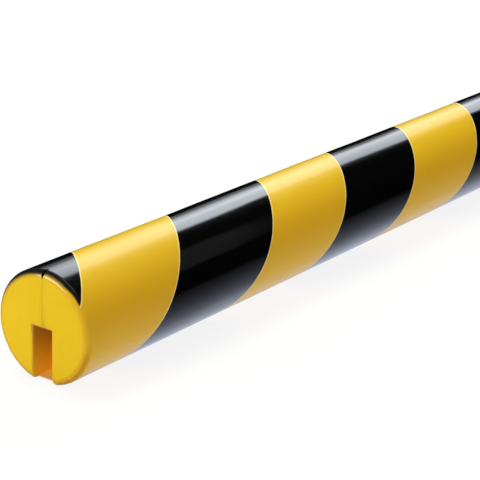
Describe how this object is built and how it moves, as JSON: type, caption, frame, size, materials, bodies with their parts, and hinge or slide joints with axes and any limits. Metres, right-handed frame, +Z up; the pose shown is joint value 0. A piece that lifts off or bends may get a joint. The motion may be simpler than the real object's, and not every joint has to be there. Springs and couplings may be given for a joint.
{
  "type": "edge protection profile",
  "caption": "Round foam bar with a push-on slot along its underside and a spiral hazard stripe, which cushions a sharp edge that people or loads pass.",
  "frame": {"origin": "on the surface that the bar stands on, below the middle of the bar", "axes": "+X along the bar away from the end with the nick, +Z up, out of the round back; the slot opens down"},
  "size_m": [0.5, 0.04, 0.0393],
  "materials": {
    "foam": "closed satin skin, yellow with a black spiral stripe, on soft foam"
  },
  "bodies": {
    "root": {"profile": "foam"}
  },
  "joints": []
}
